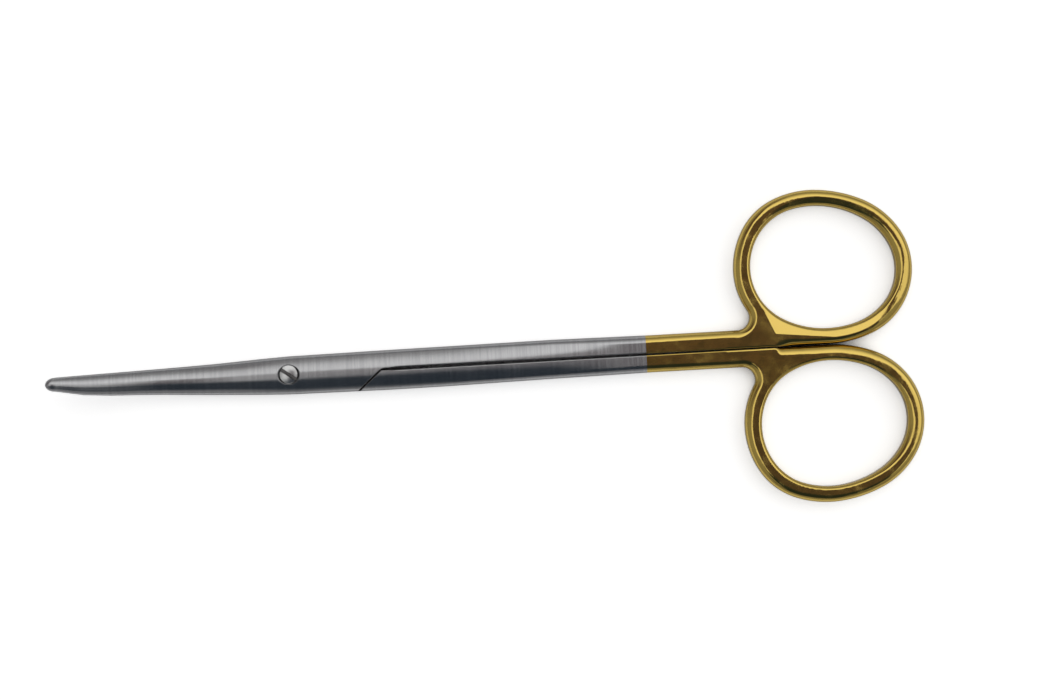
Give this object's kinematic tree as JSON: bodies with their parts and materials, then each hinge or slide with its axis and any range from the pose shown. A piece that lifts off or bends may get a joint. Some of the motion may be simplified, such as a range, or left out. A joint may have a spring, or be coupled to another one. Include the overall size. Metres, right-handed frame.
{
  "type": "dissecting scissors",
  "caption": "Slender curved dissecting scissors: blades that cross at a slotted pivot screw, slim half-round shanks and gilt oval finger rings.",
  "frame": {"origin": "on the pivot axis, on the ground tail of the pivot screw, in the plane that the joint lies on", "axes": "+X from the pivot to the finger rings, +Y to the thumb ring's side, +Z along the pivot axis out of the screw's head, the way the tips curve"},
  "size_m": [0.1443, 0.052, 0.0093],
  "materials": {
    "steel": "satin stainless steel, with polished gold plating from the shank's end round the ring",
    "insert": "ground hard metal",
    "screw": "turned and polished stainless steel"
  },
  "bodies": {
    "finger_side": {"finger_half": "steel", "finger_blade_insert": "insert", "pivot_screw": "screw"},
    "thumb_side": {"thumb_half": "steel", "thumb_blade_insert": "insert"}
  },
  "joints": [
    {"name": "pivot", "type": "hinge", "parent": "finger_side", "child": "thumb_side", "pos_m": [0, 0, 0], "axis": [0, 0, 1], "range_deg": [0, 90]}
  ]
}
